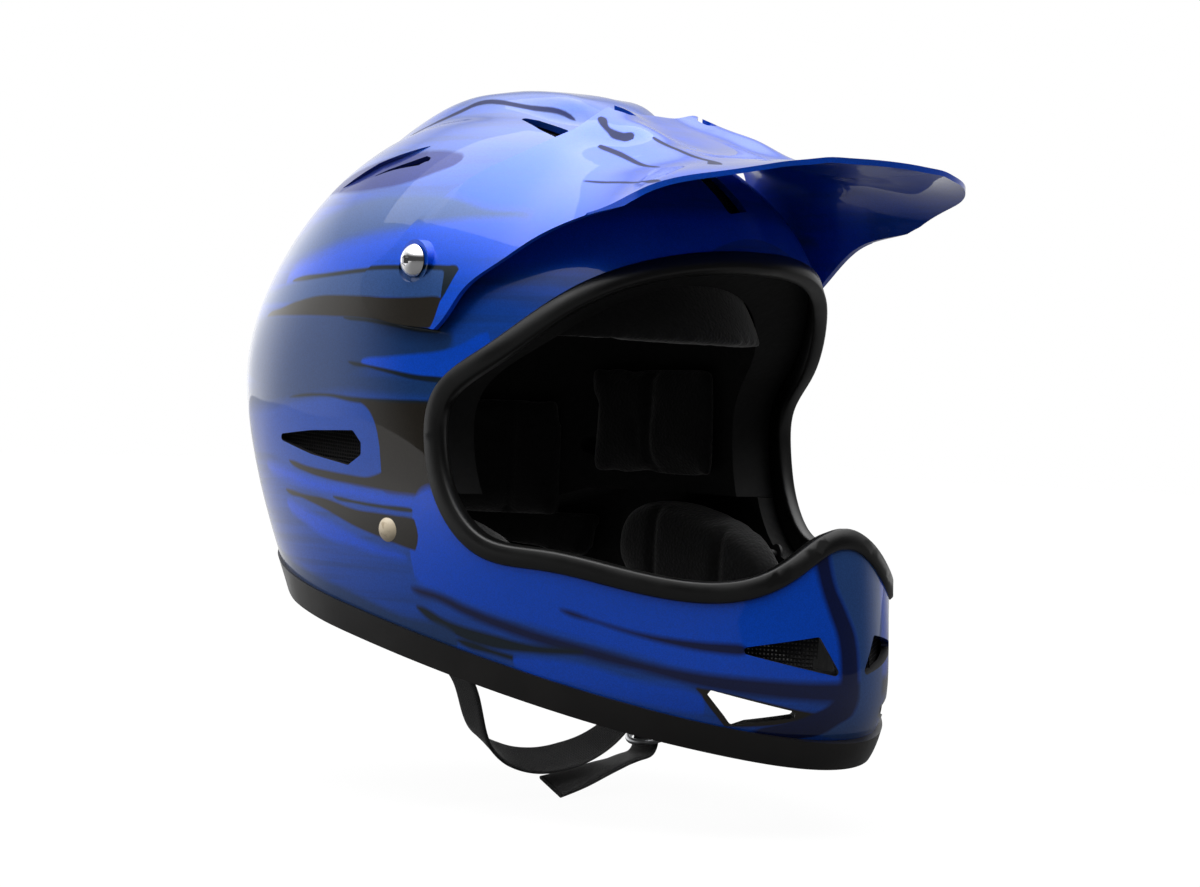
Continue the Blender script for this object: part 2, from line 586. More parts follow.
def form_table(sections, turns, rows, columns):
    """Smooth surface through sections of points, as a fine table."""
    sections = np.array(sections)
    fine = np.stack([spline_through(turns, s, np.linspace(turns[0], turns[-1], columns))
                     for s in sections])
    steps = np.linalg.norm(np.diff(sections, axis=0), axis=2).mean(1)
    run = np.concatenate([[0], np.cumsum(steps)])
    return spline_through(run, fine, np.linspace(0, run[-1], rows))


# Shell and visor forms, repeated from the part's source, in millimetres

SHELL_HALF_WIDTH, RIM_HALF_WIDTH = 118.0, 94.0
FRONT_REACH, REAR_REACH, CROWN_RISE = 209.0, 129.0, 297.0
FAN_Y, FAN_Z = 10.0, -135.0
WIDEST_HEIGHT, WIDEST_BACK = 20.0, 12.0
CROWN_POWER, REAR_POWER, CORE_SHARE = 2.2, 2.7, 0.07
BAND_HEIGHT, BAND_HALF_WIDTH, BAND_EDGE = 6.5, 46.0, 10.0
OUTLINE_SHARES = [
    (0.933, 0.024), (0.995, 0.101), (0.990, 0.205), (0.971, 0.330), (0.880, 0.471),
    (0.766, 0.626), (0.684, 0.778), (0.536, 0.879), (0.311, 0.960), (0.048, 1.000),
    (-0.310, 0.973), (-0.674, 0.892), (-0.915, 0.737), (-1.000, 0.579), (-0.953, 0.418),
    (-0.806, 0.256), (-0.729, 0.131), (-0.690, 0.017),
]
BAND_ANGLES = [75.0, 77.5, 80.0, 86.0, 93.0, 99.0, 106.0, 118.0, 130.0]
BAND_HEIGHT_SHARES = [0.0, 0.45, 1.0, 1.0, 1.0, 0.62, 0.42, 0.34, 0.0]
BAND_WIDTH_SHARES = [0.52, 0.60, 0.72, 0.93, 1.0, 1.0, 0.92, 0.78, 0.68]
SHELL_ANGLES = [0, 7, 14, 21, 28, 35, 42, 49, 56, 62, 67, 71, 74, 76, 78, 80, 84, 89, 94,
                99, 104, 110, 116, 123, 130, 138, 147, 157, 168, 178]
SHELL_TURNS = [0, 9, 18, 27, 36, 45, 53, 60, 64, 67, 70, 73, 76, 79, 82, 86, 90]

VISOR_REACH, VISOR_HALF_WIDTH, VISOR_HEIGHT = 211.0, 123.0, 168.0
VISOR_WALL, VISOR_POWER = 2.5, 2.2
RIDGE_HEIGHT, RIDGE_SPREAD, RIDGE_WIDTH = 6.5, 46.0, 11.0
VISOR_SHARES = [
    (-0.095, 1.000, 0.119, 1.0000, 0.000, 0.565), (0.095, 0.980, 0.119, 0.9940, 0.000, 0.565),
    (0.227, 0.947, 0.119, 0.9550, 0.230, 0.565), (0.313, 0.927, 0.119, 0.9230, 0.770, 0.609),
    (0.379, 0.915, 0.143, 0.8900, 0.920, 0.696), (0.455, 0.894, 0.226, 0.8540, 1.000, 0.804),
    (0.573, 0.813, 0.429, 0.8070, 0.615, 0.913), (0.659, 0.797, 0.518, 0.7860, 0.310, 0.978),
    (0.739, 0.801, 0.577, 0.7770, 0.120, 1.000), (0.825, 0.764, 0.619, 0.7710, 0.000, 1.000),
    (0.948, 0.683, 0.655, 0.7655, 0.000, 1.000), (1.024, 0.618, 0.667, 0.7640, 0.000, 1.000),
]
VISOR_TURNS = [0, 12, 24, 36, 48, 58, 66, 73, 79, 84.5, 90]
SHELL_FINENESS = (300, 260)      # rows and columns of the forms' fine tables
VISOR_FINENESS = (240, 220)


def fan_point(angle, radius):
    """Side view point on the fan ray at an angle in degrees."""
    turn = math.radians(angle)
    return FAN_Y - radius * math.cos(turn), FAN_Z + radius * math.sin(turn)


def fan_radii(angles):
    """Distance from the fan's axis to the shell's side outline at angles."""
    spots = [(f * (FRONT_REACH if f > 0 else REAR_REACH), u * CROWN_RISE) for f, u in OUTLINE_SHARES]
    turns = [math.degrees(math.atan2(u, f)) for f, u in spots]
    return spline_through(turns, [math.hypot(f, u) for f, u in spots], np.array(angles, float))


FAN_RAYS = np.linspace(0, 180, 721)
PROFILE = np.array([fan_point(a, r) for a, r in zip(FAN_RAYS, fan_radii(FAN_RAYS))])
CROWN_AT = int(PROFILE[:, 1].argmax())
CROWN_Y, CROWN_Z = PROFILE[CROWN_AT]


def shell_x(y, z):
    """Half width of the shell at a side view point."""
    z = min(z, CROWN_Z)
    front = float(np.interp(z, PROFILE[:CROWN_AT + 1, 1], PROFILE[:CROWN_AT + 1, 0]))
    rear = float(np.interp(z, PROFILE[CROWN_AT:, 1][::-1], PROFILE[CROWN_AT:, 0][::-1]))
    lift = max(0.0, z - WIDEST_HEIGHT) / (CROWN_Z - WIDEST_HEIGHT)
    middle = WIDEST_BACK + (CROWN_Y - WIDEST_BACK) * lift
    round_share = max(0.0, 1 - abs(z - 2 * WIDEST_HEIGHT) / (CROWN_Z - 2 * WIDEST_HEIGHT))
    power = 2.0 if y < middle else 2.0 + (REAR_POWER - 2.0) * round_share
    share = abs((y - middle) / ((front - middle) if y < middle else (rear - middle)))
    if z > WIDEST_HEIGHT:
        wide = SHELL_HALF_WIDTH * (1 - min(1.0, lift) ** CROWN_POWER) ** (1 / CROWN_POWER)
    else:
        low = (WIDEST_HEIGHT - z) / (WIDEST_HEIGHT - FAN_Z)
        wide = SHELL_HALF_WIDTH - (SHELL_HALF_WIDTH - RIM_HALF_WIDTH) * low**2
    return wide * max(0.0, 1 - min(1.0, share) ** power) ** (1 / power)


def band_lift(angle, x):
    """Height of the crown's raised band."""
    height = BAND_HEIGHT * float(np.interp(angle, BAND_ANGLES, BAND_HEIGHT_SHARES, 0, 0))
    edge = BAND_HALF_WIDTH * float(np.interp(angle, BAND_ANGLES, BAND_WIDTH_SHARES))
    share = min(1.0, max(0.0, (edge - abs(x)) / BAND_EDGE))
    return height * share * share * (3 - 2 * share)


def both_sides(half):
    """Section from one side's points, which end on the centre plane."""
    return [(-x, y, z) for x, y, z in half] + half[::-1][1:]


def both_turns(turns):
    """Turns of the whole section."""
    return list(turns) + [180 - t for t in turns[::-1][1:]]


def shell_form():
    """Fine smooth surface of the shell's outside, in metres."""
    sections = []
    core = CORE_SHARE * CROWN_RISE
    for angle, reach in zip(SHELL_ANGLES, fan_radii(SHELL_ANGLES)):
        half = []
        for turn in SHELL_TURNS:
            radius = core + (reach - core) * math.sin(math.radians(turn))
            x = shell_x(*fan_point(angle, radius)) if turn < 90 else 0.0
            half.append((x, *fan_point(angle, radius + band_lift(angle, x))))
        sections.append(both_sides(half))
    return form_table(sections, both_turns(SHELL_TURNS), *SHELL_FINENESS) * MM


def visor_form(skin):
    """Fine smooth surface of the visor, its skin taken in, in metres."""
    sections = []
    for forward, wide, base, crown, ridge, place in VISOR_SHARES:
        half_span = VISOR_HALF_WIDTH * wide - skin
        base, top = VISOR_HEIGHT * base, VISOR_HEIGHT * crown - skin
        half = []
        for turn in VISOR_TURNS:
            c, s = math.cos(math.radians(turn)), math.sin(math.radians(turn))
            x = half_span * max(c, 0.0) ** (2 / VISOR_POWER) if turn < 90 else 0.0
            off = (x - RIDGE_SPREAD * place) / RIDGE_WIDTH
            z = base + (top - base) * s ** (2 / VISOR_POWER)
            half.append((x, -VISOR_REACH * forward, z + RIDGE_HEIGHT * ridge * math.exp(-off * off)))
        sections.append(both_sides(half))
    return form_table(sections, both_turns(VISOR_TURNS), *VISOR_FINENESS) * MM


def polish(mesh, tables, reach, agree):
    """Takes the shading of the fine forms where a mesh's faces lie on them."""
    tests = []
    for table in tables:
        form = grid_mesh("form", table)
        form.calc_loop_triangles()
        corners = np.zeros(len(form.vertices) * 3)
        form.vertices.foreach_get("co", corners)
        normals = np.zeros(len(form.vertices) * 3)
        form.vertices.foreach_get("normal", normals)
        corners, normals = corners.reshape(-1, 3), normals.reshape(-1, 3)
        faces = [tuple(p.vertices) for p in form.polygons]
        tests.append((BVHTree.FromPolygons(corners.tolist(), faces), faces, corners, normals))
        bpy.data.meshes.remove(form)

    def shading(place, facing):
        best = None
        for tree, faces, corners, normals in tests:
            spot, _, index, distance = tree.find_nearest(place, reach)
            if index is None or (best is not None and distance > best[0]):
                continue
            ring = list(faces[index])
            weights = 1 / (np.linalg.norm(corners[ring] - np.array(spot), axis=1) + 1e-6) ** 2
            normal = Vector((normals[ring] * weights[:, None]).sum(0)).normalized()
            if abs(normal.dot(facing)) > agree:
                best = (distance, normal if normal.dot(facing) > 0 else -normal)
        return None if best is None else best[1]

    given = [Vector((0, 0, 0))] * len(mesh.loops)
    for face in mesh.polygons:
        if shading(face.center, face.normal) is None:
            continue
        for loop in face.loop_indices:
            place = mesh.vertices[mesh.loops[loop].vertex_index].co
            found = shading(place, face.normal)
            if found is not None:
                given[loop] = found
    mesh.normals_split_custom_set(given)


FORM_REACH = 0.9 * MM        # how near a face lies to a form whose shading it takes
SHELL_AGREE, VISOR_AGREE = 0.86, 0.8     # how well their normals agree there
INWARD = -0.35               # a face whose normal leans this far to the head is inside the shell
WALL_LEAN = 0.25             # below WALL_TOP, walls of the vents stay bare too
WALL_TOP = 0.040


class HELMET_OT_shell(bpy.types.Operator):
    """Paint the shell"""
    bl_idname = "helmet.shell"
    bl_label = "Painted shell"

    def execute(self, context):
        mesh = merged_mesh("outer_shell", "painted_shell")
        smooth_by_angle(mesh, PAINT_SHARP)
        polish(mesh, [shell_form()], FORM_REACH, SHELL_AGREE)
        paint = candy_paint("Candy paint on shell", "body", SHELL_STRIPES + UPPER_STRIPES,
                            SHELL_STROKES, True)
        dress(linked("painted_shell", mesh), "outer_shell", paint)
        mesh.materials.append(bare_composite())
        for face in mesh.polygons:
            lean = face.normal.dot(face.center.normalized())
            low_wall = lean < WALL_LEAN and face.center.z < WALL_TOP
            face.material_index = int(lean < INWARD or low_wall)
        return {"FINISHED"}


class HELMET_OT_visor(bpy.types.Operator):
    """Paint the visor"""
    bl_idname = "helmet.visor"
    bl_label = "Painted visor"

    def execute(self, context):
        mesh = merged_mesh("visor", "painted_visor")
        smooth_by_angle(mesh, PAINT_SHARP)
        polish(mesh, [visor_form(0.0), visor_form(VISOR_WALL)], FORM_REACH, VISOR_AGREE)
        paint = candy_paint("Candy paint on visor", "bright", UPPER_STRIPES, VISOR_STROKES, False)
        dress(linked("painted_visor", mesh), "visor", paint)
        return {"FINISHED"}


class HELMET_OT_trims(bpy.types.Operator):
    """Rubber edging round the eye port and the rim"""
    bl_idname = "helmet.trims"
    bl_label = "Rubber trims"

    def execute(self, context):
        port = extruded_rubber("Port rubber", "#040404")
        rim = extruded_rubber("Rim rubber", "#0e0c0b")
        smoothed("eyeport_trim", "port_edging", port, LIP_SHARP)
        smoothed("bottom_trim", "rim_edging", rim)
        return {"FINISHED"}


class HELMET_OT_liner(bpy.types.Operator):
    """Foam liner pieces"""
    bl_idname = "helmet.liner"
    bl_label = "Foam liner"

    def execute(self, context):
        foam = bead_foam()
        for node in ("crown_liner", "chin_bar_liner", "cheek_block_left", "cheek_block_right"):
            smoothed(node, f"{node}_foam", foam)
        return {"FINISHED"}


# Pads: node, the point that their faces look at, and seams as (a place, the direction across them),
# in metres
PADS = {
    "crown_pad": ((0, 0, 0), [((0, 0.011, 0.11), (0, 1, 0))]),
    "brow_pad": ((0, 0, 0.03), [((0, -0.1, 0.06), (1, 0, 0)), ((0.045, -0.09, 0.06), (1, 0.4, 0)),
                                ((-0.045, -0.09, 0.06), (-1, 0.4, 0))]),
    "rear_pad": ((0, 0, 0), [((0, 0.1, 0), (1, 0, 0)), ((0.05, 0.08, 0), (1, -0.6, 0)),
                             ((-0.05, 0.08, 0), (-1, -0.6, 0))]),
    "temple_pad_left": ((0, 0, 0.015), [((0.07, 0.005, 0.016), (0, 1, 0))]),
    "temple_pad_right": ((0, 0, 0.015), [((-0.07, 0.005, 0.016), (0, 1, 0))]),
    "cheek_pad_left": ((0, -0.027, -0.05), [((0.07, -0.049, -0.05), (0, 1, 0)),
                                            ((0.07, -0.005, -0.05), (0, 1, 0))]),
    "cheek_pad_right": ((0, -0.027, -0.05), [((-0.07, -0.049, -0.05), (0, 1, 0)),
                                             ((-0.07, -0.005, -0.05), (0, 1, 0))]),
    "neck_roll": ((0, 0, -0.05), [((0, 0.12, -0.05), (1, 0, 0))]),
}
PAD_BACK = 0.3 * MM          # most that a pad's back stands out
PAD_START = 0.8 * MM         # how much smaller a pad starts
EVEN_SHARE, EVEN_TURNS = 0.5, 5      # smoothing of the remeshed pad
CLOTH_QUALITY = 5
BACK_LEAN = 0.25             # a face whose normal leans this far from the head is on the back
SEAM_DEPTH = 2.2 * MM
SEAM_WIDTH = 2.6 * MM


def moved_along(mesh, distance):
    """Moves every corner along its normal."""
    for corner, normal in zip(mesh.vertices, [v.normal.copy() for v in mesh.vertices]):
        corner.co += normal * distance


def baked(piece, name):
    """Mesh of a piece with its modifiers carried out."""
    made = bpy.data.meshes.new_from_object(piece.evaluated_get(bpy.context.evaluated_depsgraph_get()))
    made.name = name
    return made


def away_from(places, centre):
    """Directions from a centre to places."""
    away = places - np.array(centre)
    return away / np.linalg.norm(away, axis=1)[:, None]


def swell(piece, centre):
    """Swells a pad by a cloth simulation with air inside it, held in on its back."""
    soft = bpy.context.scene.helmet_soft
    start = np.array([v.co for v in piece.data.vertices])
    facing = np.array([v.normal for v in piece.data.vertices])
    cloth = piece.modifiers.new("swell", "CLOTH")
    cloth.settings.use_pressure = True
    cloth.settings.uniform_pressure_force = soft.pressure
    cloth.settings.effector_weights.gravity = 0
    cloth.settings.quality = CLOTH_QUALITY
    for step in range(1, soft.frames + 1):
        bpy.context.scene.frame_set(step)
    piece.data = baked(piece, piece.name)
    piece.modifiers.clear()
    bpy.context.scene.frame_set(1)
    shift = np.array([v.co for v in piece.data.vertices]) - start
    size = np.linalg.norm(shift, axis=1)
    back = (facing * away_from(start, centre)).sum(1) > BACK_LEAN
    limit = np.where(back, PAD_BACK, soft.swell)
    shift *= np.minimum(1, limit / np.maximum(size, 1e-9))[:, None]
    piece.data.vertices.foreach_set("co", (start + shift).astype(np.float32).ravel())
    piece.data.update()


def swollen(node, name, centre):
    """Pad made from the space of its CAD solid: remeshed evenly, swelled and refined."""
    mesh = merged_mesh(node, name)
    moved_along(mesh, -PAD_START)
    piece = linked(name, mesh)
    remesh = piece.modifiers.new("cells", "REMESH")
    remesh.mode = "VOXEL"
    remesh.voxel_size = bpy.context.scene.helmet_soft.voxel
    even = piece.modifiers.new("even", "SMOOTH")
    even.factor = EVEN_SHARE
    even.iterations = EVEN_TURNS
    piece.data = baked(piece, name)
    piece.modifiers.clear()
    swell(piece, centre)
    finer = piece.modifiers.new("finer", "SUBSURF")
    finer.levels = finer.render_levels = 1
    piece.data = baked(piece, name)
    piece.modifiers.clear()
    return piece


def press_seams(mesh, centre, seams):
    """Presses sewn channels into a pad's face."""
    places = np.array([v.co for v in mesh.vertices])
    normals = np.array([v.normal for v in mesh.vertices])
    front = np.clip(-(normals * away_from(places, centre)).sum(1) * 2, 0, 1)
    for spot, direction in seams:
        direction = np.array(direction, float)
        direction /= np.linalg.norm(direction)
        off = (places - np.array(spot)) @ direction
        depth = SEAM_DEPTH * np.exp(-(off / SEAM_WIDTH) ** 2) * front
        places -= normals * depth[:, None]
    mesh.vertices.foreach_set("co", places.astype(np.float32).ravel())
    mesh.update()


class HELMET_OT_pads(bpy.types.Operator):
    """Comfort pads, swelled by cloth simulation"""
    bl_idname = "helmet.pads"
    bl_label = "Pads"

    def execute(self, context):
        fabric = brushed_knit()
        for node, (centre, seams) in PADS.items():
            piece = swollen(node, f"{node}_cushion", centre)
            press_seams(piece.data, centre, seams)
            for face in piece.data.polygons:
                face.use_smooth = True
            dress(piece, node, fabric)
        return {"FINISHED"}


SCREEN_PITCH = 1.7 * MM
SCREEN_WIRE = 1.0 * MM
SCREEN_PROBE = 20 * MM       # how far off the net it is tested against its plate
SCREENS = ("chin_vent_mesh_right", "chin_vent_mesh_left", "ear_vent_mesh_right", "ear_vent_mesh_left",
           "top_vent_mesh_right", "top_vent_mesh_left", "rear_vent_mesh_right", "rear_vent_mesh_left",
           "forehead_vent_mesh")


def screen_mesh(node, name):
    """Net of crossed wires in the plane of a CAD plate, inside its outline."""
    plate = frame["nodes"][node].data
    corners = np.array([v.co for v in plate.vertices])
    middle = corners.mean(0)
    axes = np.linalg.svd(corners - middle)[2]
    flat = (corners - middle) @ axes.T
    low, high = flat.min(0), flat.max(0)
    middle = middle + ((low + high) / 2) @ axes
    half = (high - low) / 2
    tree = BVHTree.FromPolygons(corners.tolist(), [tuple(p.vertices) for p in plate.polygons])
    counts = [max(2, round(2 * half[k] / SCREEN_PITCH)) for k in (0, 1)]
    work = bmesh.new()
    bmesh.ops.create_grid(work, x_segments=counts[0], y_segments=counts[1], size=1.0)
    along, across, normal = Vector(axes[0] * half[0]), Vector(axes[1] * half[1]), Vector(axes[2])
    for corner in work.verts:
        corner.co = Vector(middle) + along * corner.co.x + across * corner.co.y
    probe = normal * SCREEN_PROBE
    outside = [f for f in work.faces if tree.ray_cast(f.calc_center_median() + probe, -normal,
                                                      2 * SCREEN_PROBE)[2] is None]
    bmesh.ops.delete(work, geom=outside, context="FACES")
    return mesh_from(work, name)


class HELMET_OT_screens(bpy.types.Operator):
    """Nets behind the vents"""
    bl_idname = "helmet.screens"
    bl_label = "Vent nets"

    def execute(self, context):
        nylon = moulded_nylon("Net nylon", "#050506", 0.9)
        for node in SCREENS:
            piece = linked(f"{node}_net", screen_mesh(node, node))
            wires = piece.modifiers.new("wires", "WIREFRAME")
            wires.thickness = SCREEN_WIRE
            piece.data = baked(piece, piece.name)
            piece.modifiers.clear()
            dress(piece, node, nylon)
        return {"FINISHED"}


# Strap routes along the middle of the webbing, repeated from the part's source, in millimetres

STRAP_WIDTH, STRAP_THICK = 16.0, 1.8
RING_X, RING_Y, RING_Z, RING_STEP = 45.0, -38.0, -126.0, 4.2
LOOP_RADIUS = 2.45
SHORT_ROUTE = [(103, -29, -60), (98.5, -32, -74), (90, -36, -89), (77, -38, -104), (62, -38, -117),
               (48.6, -38, -125.6)]
LONG_ROUTE = [
    (-103, -29, -60), (-98.5, -32, -74), (-90, -36, -88), (-77, -38, -101), (-72, -38, -112),
    (-66, -38, -125), (-52, -38, -134.5), (-34, -38, -138.5), (-12, -38, -137), (10, -38, -129.5),
    (22, -38, -121), (29, -38, -116.0), (34.8, -38, -116.3), (38, -38, -121), (38, -38, -126.5),
    (37.6, -38, -133), (35, -38, -138), (29, -38, -139.8), (20, -38, -141.8), (10, -38, -144),
    (-6, -38, -148), (-22, -38, -151)]
SHORT_TILTS = [0] * 6
LONG_TILTS = [0, 0, 0, 8, 16, 26, 38, 40, 38, 22, 8, 0, 0, 0, 0, 0, 0, 0, 0, 8, 20, 30]
ANCHOR_AHEAD, ANCHOR_DROP, ANCHOR_DEPTH, PLATE_LENGTH = 25.5, 35.0, 6.15, 26.0
ANCHOR_TOP_SHARE, ANCHOR_LOW_SHARE = 0.33, 0.60
SLOPE_STEP = 3.5             # step over which the shell's slope is read at the anchor
SELVEDGE_SHARE, SELVEDGE_RISE_SHARE = 0.9, 0.7   # of half the webbing's thickness
FLAT_PARTS = 6               # faces across a flat side of the webbing
LOOP_STEPS = 40


def anchor_run(side):
    """First three places of a strap at its rivet, and the direction of its width there."""
    y, z, step = -ANCHOR_AHEAD, -ANCHOR_DROP, SLOPE_STEP
    slope_y = (shell_x(y + step, z) - shell_x(y - step, z)) / (2 * step)
    slope_z = (shell_x(y, z + step) - shell_x(y, z - step)) / (2 * step)
    normal = Vector((1, -slope_y, -slope_z)).normalized()
    up = (Vector((0, 0, 1)) - normal * normal.z).normalized()
    place = Vector((shell_x(y, z), y, z)) - normal * ANCHOR_DEPTH
    width = up.cross(normal)
    spots = [place + up * PLATE_LENGTH * ANCHOR_TOP_SHARE, place,
             place - up * PLATE_LENGTH * ANCHOR_LOW_SHARE]
    return [(side * p.x, p.y, p.z) for p in spots], (side * width.x, width.y, width.z)


def strap_outline():
    """Closed outline across the webbing, flat with rounded selvedges, as (across, up) in millimetres."""
    half, deep = STRAP_WIDTH / 2, STRAP_THICK / 2
    edge = deep * SELVEDGE_SHARE
    right = [(half - edge, -deep), (half - edge / 3, -deep * SELVEDGE_RISE_SHARE), (half, 0),
             (half - edge / 3, deep * SELVEDGE_RISE_SHARE), (half - edge, deep)]
    corners = right + [(-a, -b) for a, b in right]
    ring = []
    for a, b in zip(corners[-1:] + corners[:-1], corners):
        parts = FLAT_PARTS if abs(a[0] - b[0]) > half else 1
        ring += [(a[0] + (b[0] - a[0]) * k / parts, a[1] + (b[1] - a[1]) * k / parts)
                 for k in range(parts)]
    return np.array(ring + ring[:1])


def strap_mesh(name, points, sides, closed=False, finely=1.6):
    """Flat woven strap along points in millimetres, with rounded selvedges and a weave map."""
    points, sides = np.array(points, float), np.array(sides, float)
    run = np.concatenate([[0], np.cumsum(np.linalg.norm(np.diff(points, axis=0), axis=1))])
    stations = np.linspace(0, run[-1], max(12, int(run[-1] / finely)))
    centre = spline_through(run, points, stations)
    if closed:
        centre = np.stack([np.interp(stations, run, points[:, k]) for k in range(3)], 1)
    side = np.stack([np.interp(stations, run, sides[:, k]) for k in range(3)], 1)
    along = np.gradient(centre, axis=0)
    if closed:
        along[0] = along[-1] = centre[1] - centre[-2]
    along /= np.linalg.norm(along, axis=1)[:, None]
    side -= (side * along).sum(1)[:, None] * along
    side /= np.linalg.norm(side, axis=1)[:, None]
    up = np.cross(along, side)
    ring = strap_outline()
    table = centre[:, None] + ring[None, :, :1] * side[:, None] + ring[None, :, 1:] * up[:, None]
    girth = np.concatenate([[0], np.cumsum(np.linalg.norm(np.diff(ring, axis=0), axis=1))])
    work = bmesh.new()
    spots = grid_in(work, *table.shape[:2])
    weave = work.loops.layers.uv.new("weave")
    for face in work.faces:
        for loop in face.loops:
            i, j = spots[loop.vert]
            loop[weave].uv = (stations[i] * MM, girth[j] * MM)
    for corner, spot in spots.items():
        corner.co = table[spot] * MM
    bmesh.ops.remove_doubles(work, verts=work.verts, dist=0.01 * MM)
    if not closed:
        bmesh.ops.holes_fill(work, edges=[e for e in work.edges if e.is_boundary])
    bmesh.ops.recalc_face_normals(work, faces=work.faces)
    for face in work.faces:
        face.smooth = len(face.verts) == 4
    return mesh_from(work, name)


def turned(tilt):
    """Direction of a strap's width, turned up from the Y axis by degrees."""
    return (0, math.cos(math.radians(tilt)), math.sin(math.radians(tilt)))


class HELMET_OT_straps(bpy.types.Operator):
    """Chin straps with their loop for the rings"""
    bl_idname = "helmet.straps"
    bl_label = "Chin straps"

    def execute(self, context):
        webbing = nylon_webbing()
        for length, side, route, tilts in (("long", -1, LONG_ROUTE, LONG_TILTS),
                                           ("short", 1, SHORT_ROUTE, SHORT_TILTS)):
            start, width = anchor_run(side)
            sides = [width] * len(start) + [turned(tilt) for tilt in tilts]
            mesh = strap_mesh(f"{length}_webbing", start + route, sides)
            dress(linked(f"{length}_webbing", mesh), f"chin_strap_{length}", webbing)
        loop = []
        for k in range(LOOP_STEPS + 1):
            turn = 2 * math.pi * k / LOOP_STEPS
            lift = RING_STEP / 2 * (1 if math.sin(turn) >= 0 else -1)
            loop.append((RING_X + LOOP_RADIUS * math.cos(turn), RING_Y,
                         RING_Z + lift + LOOP_RADIUS * math.sin(turn)))
        mesh = strap_mesh("ring_loop", loop, [turned(0)] * len(loop), closed=True, finely=0.5)
        piece = linked("ring_loop", mesh)
        piece.data.materials.append(webbing)
        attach(piece, frame["nodes"]["chin_strap_short"]["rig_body"])
        return {"FINISHED"}


class HELMET_OT_hardware(bpy.types.Operator):
    """Screws, rivets, rings and the small pieces behind them"""
    bl_idname = "helmet.hardware"
    bl_label = "Hardware"

    def execute(self, context):
        chrome = worked_metal("Polished chrome", "#f2f2f4", 0.05, 0.004)
        nickel = worked_metal("Nickel plated wire", "#b9bbbe", 0.22, 0.02)
        zinc = worked_metal("Zinc plated steel", "#c3c1b4", 0.30, 0.03)
        cream = baked_enamel()
        nylon = moulded_nylon("Black nylon", "#121214")
        for side in ("left", "right"):
            smoothed(f"visor_screw_{side}", f"side_screw_{side}", chrome)
            smoothed(f"visor_washer_{side}", f"side_washer_{side}", nylon)
            smoothed(f"visor_bush_{side}", f"side_bush_{side}", nylon)
            smoothed(f"visor_t_nut_{side}", f"side_nut_{side}", zinc)
            smoothed(f"strap_rivet_{side}", f"anchor_rivet_{side}", cream)
            smoothed(f"strap_anchor_plate_{side}", f"anchor_plate_{side}", zinc)
            smoothed(f"cheek_pad_studs_{side}", f"pad_studs_{side}", nylon)
        for place in ("upper", "lower"):
            smoothed(f"d_ring_{place}", f"{place}_ring", nickel, WIRE_SHARP)
        return {"FINISHED"}


AIM = Vector((0.0, -0.030, 0.030))
IMAGE_SIZE = (1200, 887)
PRINCIPAL = (588.47, 389.22)     # where the line of sight meets the image
SENSOR_WIDTH = 36.0
FLOOR_DROP = 0.001               # floor below the lowest point
FLOOR_REACH = 6.0
FLOOR_WHITE = 0.96               # strength of the floor's own white to the eye
REAR_GLOW = (-0.15, 0.98, -0.10)  # direction of the white wall behind the helmet
# Smooth steps as (start, end, level at the start, level at the end). The floor's runs along REAR_GLOW
# in metres. The others go by direction: upwards, away from the camera, and along REAR_GLOW.
FLOOR_DUSK = (0.05, 0.90, 0.10, 0.42)
SKY = (0.38, 0.92, 0.0, 2.7)
BEHIND = (-0.25, -0.88, 0.0, 0.6)
BESIDE = (0.55, 0.95, 0.0, 0.9)
FILL = 0.05
OVERHEAD_SIZE, OVERHEAD_PLACE = 1.7, (-0.3, 0.1, 1.25)
SIDE_SIZE, SIDE_PLACE = 0.7, (-1.3, 0.3, 0.5)


def lay_floor(shade):
    """Floor that stays white to the eye, keeps a faint shadow and is dim in reflections ahead."""
    work = bmesh.new()
    bmesh.ops.create_grid(work, x_segments=1, y_segments=1, size=FLOOR_REACH)
    bmesh.ops.translate(work, verts=work.verts, vec=(0, 0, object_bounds()[0].z - FLOOR_DROP))
    floor = linked("floor", mesh_from(work, "floor"))
    made, tree = blank_finish("Studio floor")
    eye = add(tree, "LightPath", out="Is Camera Ray")
    places = add(tree, "TexCoord", out="Object")
    run = add(tree, "VectorMath", [places, REAR_GLOW], out="Value", operation="DOT_PRODUCT")
    dusk = add(tree, "MapRange", [run, *FLOOR_DUSK], interpolation_type="SMOOTHSTEP")
    level = add(tree, "Math", [eye, dusk], operation="MAXIMUM")
    lit = add(tree, "VectorMath", {0: tuple(shade), 3: level}, operation="SCALE")
    matte = add(tree, "BsdfDiffuse", {"Color": lit})
    glow = add(tree, "Emission", {"Color": rgba(shade), "Strength": 1.0})
    seen = add(tree, "Math", [eye, FLOOR_WHITE], operation="MULTIPLY")
    mixed = add(tree, "MixShader", [seen, matte, glow])
    # Seen from below the floor is clear, so that the underside can be looked at
    below = add(tree, "NewGeometry", out="Backfacing")
    mixed = add(tree, "MixShader", [below, mixed, add(tree, "BsdfTransparent")])
    add(tree, "OutputMaterial", {"Surface": mixed})
    floor.data.materials.append(made)
    floor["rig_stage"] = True


def line_of_sight(stage):
    """Direction from the aim point to the camera."""
    level = math.cos(stage.elevation)
    return Vector((math.sin(stage.azimuth) * level, -math.cos(stage.azimuth) * level,
                   math.sin(stage.elevation)))


